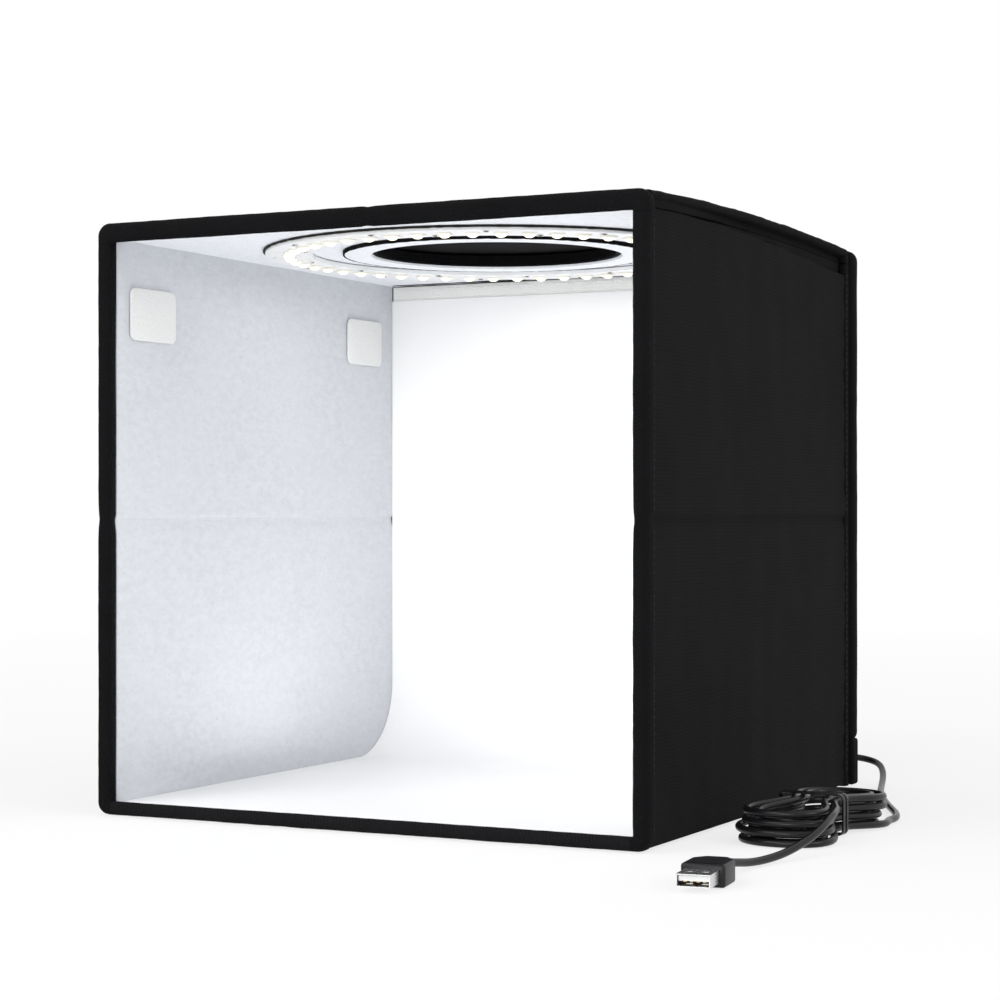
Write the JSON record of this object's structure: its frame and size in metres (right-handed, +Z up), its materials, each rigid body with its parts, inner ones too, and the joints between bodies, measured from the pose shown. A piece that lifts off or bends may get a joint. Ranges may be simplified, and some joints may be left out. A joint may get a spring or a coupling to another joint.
{
  "type": "light tent cube",
  "caption": "Folding fabric light tent cube with an open front, sweeping white backdrop, ring light under the roof, flap over a shooting hole and a tied USB cable.",
  "frame": {"origin": "on the floor under the centre of the cube", "axes": "+X to the right seen from the open front, +Y from the open front towards the back wall, +Z up"},
  "size_m": [0.31, 0.3441, 0.25],
  "materials": {
    "black_fabric": "black ribbed oxford weave, matt",
    "black_rubber": "black moulded rubber and cable sheath",
    "black_tape": "black herringbone binding tape, matt",
    "cream_strip": "cream hook-and-loop strip",
    "gold": "gold-plated contacts",
    "led_chip": "warm LED chips with a yellow phosphor",
    "silver_lining": "silver-white speckled reflective non-woven",
    "steel": "bright nickel-plated steel",
    "stiff_board": "grey-white stiffening board",
    "white_board": "white circuit board lacquer",
    "white_pad": "white hook-and-loop pad",
    "white_plastic": "white moulded plastic",
    "white_sheet": "matt white plastic backdrop sheet"
  },
  "bodies": {
    "base": {"bottom_cover": "black_fabric", "bottom_board": "stiff_board", "bottom_lining": "silver_lining", "bottom_front_tape": "black_tape", "bottom_rear_tape": "black_tape", "backdrop_sheet": "white_sheet", "cable_outlet": "black_rubber", "cord_lead": "black_rubber", "cord_hank": "black_rubber", "cord_tail": "black_rubber", "hank_tie": "black_rubber", "plug_boot": "black_rubber", "plug_body": "black_rubber", "plug_shell": "steel", "plug_tongue": "white_plastic", "plug_contacts": "gold"},
    "left_lower": {"left_lower_cover": "black_fabric", "left_lower_board": "stiff_board", "left_lower_lining": "silver_lining", "left_lower_front_tape": "black_tape", "left_lower_rear_tape": "black_tape"},
    "left_upper": {"left_upper_cover": "black_fabric", "left_upper_board": "stiff_board", "left_upper_lining": "silver_lining", "left_upper_front_tape": "black_tape", "left_upper_rear_tape": "black_tape", "left_front_pad": "white_pad", "left_rear_pad": "white_pad"},
    "right_lower": {"right_lower_cover": "black_fabric", "right_lower_board": "stiff_board", "right_lower_lining": "silver_lining", "right_lower_front_tape": "black_tape", "right_lower_rear_tape": "black_tape"},
    "right_upper": {"right_upper_cover": "black_fabric", "right_upper_board": "stiff_board", "right_upper_lining": "silver_lining", "right_upper_front_tape": "black_tape", "right_upper_rear_tape": "black_tape", "right_front_pad": "white_pad", "right_rear_pad": "white_pad"},
    "roof": {"top_cover": "black_fabric", "top_board": "stiff_board", "top_lining": "silver_lining", "top_front_tape": "black_tape", "top_rear_tape": "black_tape", "top_left_roll": "black_tape", "top_right_roll": "black_tape", "hole_hem": "black_tape", "flap_patch": "black_tape", "ring_backing": "black_rubber", "ring_board": "white_board", "leds": "led_chip", "ring_lead": "black_rubber"},
    "flap": {"hole_flap": "black_fabric"},
    "back": {"back_cover": "black_fabric", "back_board": "stiff_board", "back_lining": "silver_lining", "back_tape": "black_tape", "backdrop_strip": "cream_strip"}
  },
  "joints": [
    {"name": "side_fold", "type": "hinge", "parent": "base", "child": "left_lower", "pos_m": [-0.1186, 0, 0.00615], "axis": [0, 1, 0], "range_deg": [0, 82], "deforming": ["backdrop_sheet"]},
    {"name": "left_crease", "type": "hinge", "parent": "left_lower", "child": "left_upper", "pos_m": [-0.125, 0, 0.1248], "axis": [0, 1, 0], "range_deg": [-164, 0]},
    {"name": "top_hinge", "type": "hinge", "parent": "left_upper", "child": "roof", "pos_m": [-0.1186, 0, 0.24345], "axis": [0, 1, 0], "range_deg": [0, 82]},
    {"name": "right_lower_hinge", "type": "hinge", "parent": "base", "child": "right_lower", "pos_m": [0.1186, 0, 0.00615], "axis": [0, 1, 0], "range_deg": [-82, 0]},
    {"name": "right_crease", "type": "hinge", "parent": "right_lower", "child": "right_upper", "pos_m": [0.125, 0, 0.1248], "axis": [0, 1, 0], "range_deg": [0, 164]},
    {"name": "flap_open", "type": "hinge", "parent": "roof", "child": "flap", "pos_m": [-0.07, 0, 0.2492], "axis": [0, -1, 0], "range_deg": [0, 170]},
    {"name": "back_open", "type": "hinge", "parent": "base", "child": "back", "pos_m": [0, 0.125, 0], "axis": [-1, 0, 0], "range_deg": [0, 90]}
  ],
  "couplings": [
    {"joint": "left_crease", "follows": "side_fold", "ratio": -2},
    {"joint": "top_hinge", "follows": "side_fold", "ratio": 1},
    {"joint": "right_lower_hinge", "follows": "side_fold", "ratio": -1},
    {"joint": "right_crease", "follows": "side_fold", "ratio": 2}
  ]
}
